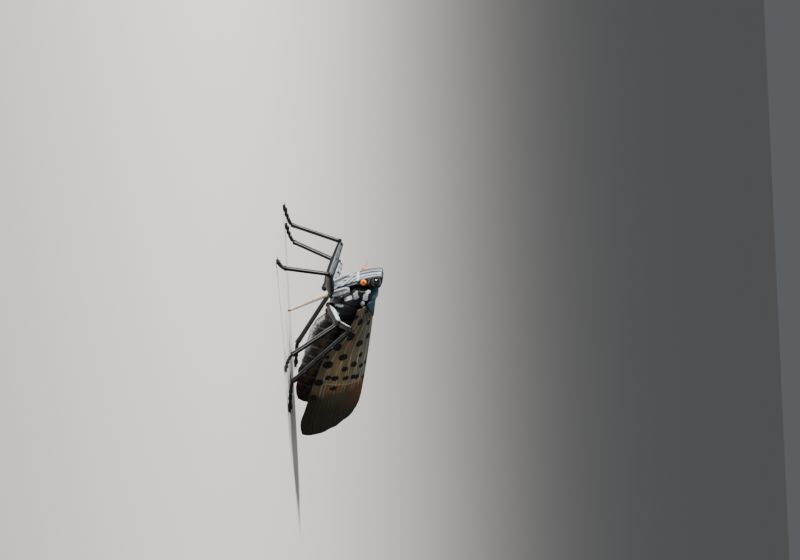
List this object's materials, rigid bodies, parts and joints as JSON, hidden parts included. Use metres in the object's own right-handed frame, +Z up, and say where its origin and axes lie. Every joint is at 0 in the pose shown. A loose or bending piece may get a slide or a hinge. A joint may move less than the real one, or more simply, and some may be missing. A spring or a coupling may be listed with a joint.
{
  "type": "spotted lanternfly",
  "caption": "Life-size still model of an adult spotted lanternfly standing with its spotted wings folded like a roof, beak down between its legs.",
  "frame": {"origin": "middle of the ground that the insect covers, at the level of its feet", "axes": "+Y from the head to the wing tips, +X to the insect's left, +Z up"},
  "size_m": [0.0208, 0.0268, 0.0127],
  "materials": {
    "head": "satin cuticle, pale blue-grey with dark lines",
    "eye": "glossy black",
    "antenna": "satin orange bulb with a black bristle",
    "rostrum": "satin tan, dark at the tip",
    "pronotum": "satin grey-blue",
    "mesonotum": "satin grey-blue",
    "thorax": "satin black with pale waxy plates",
    "abdomen": "black bands with grey-white waxy rims",
    "tegula": "satin grey",
    "tegmen": "satin grey-buff membrane with black spots and fine raised veins",
    "hindwing": "red base, white band and black end",
    "coxa": "grey-white waxy cuticle",
    "femur": "satin dark brown, grey edges",
    "tibia": "satin black with pale ridges",
    "tarsus": "satin black"
  },
  "bodies": {
    "root": {"head": "head", "rostrum": "rostrum", "pronotum": "pronotum", "mesonotum": "mesonotum", "thorax": "thorax", "abdomen": "abdomen", "eye_left": "eye", "antenna_left": "antenna", "tegula_left": "tegula", "tegmen_left": "tegmen", "hindwing_left": "hindwing", "eye_right": "eye", "antenna_right": "antenna", "tegula_right": "tegula", "tegmen_right": "tegmen", "hindwing_right": "hindwing", "front_left_coxa": "coxa", "front_left_femur": "femur", "front_left_tibia": "tibia", "front_left_tarsus": "tarsus", "front_right_coxa": "coxa", "front_right_femur": "femur", "front_right_tibia": "tibia", "front_right_tarsus": "tarsus", "mid_left_coxa": "coxa", "mid_left_femur": "femur", "mid_left_tibia": "tibia", "mid_left_tarsus": "tarsus", "mid_right_coxa": "coxa", "mid_right_femur": "femur", "mid_right_tibia": "tibia", "mid_right_tarsus": "tarsus", "hind_left_coxa": "coxa", "hind_left_femur": "femur", "hind_left_tibia": "tibia", "hind_left_tarsus": "tarsus", "hind_right_coxa": "coxa", "hind_right_femur": "femur", "hind_right_tibia": "tibia", "hind_right_tarsus": "tarsus"}
  },
  "joints": []
}
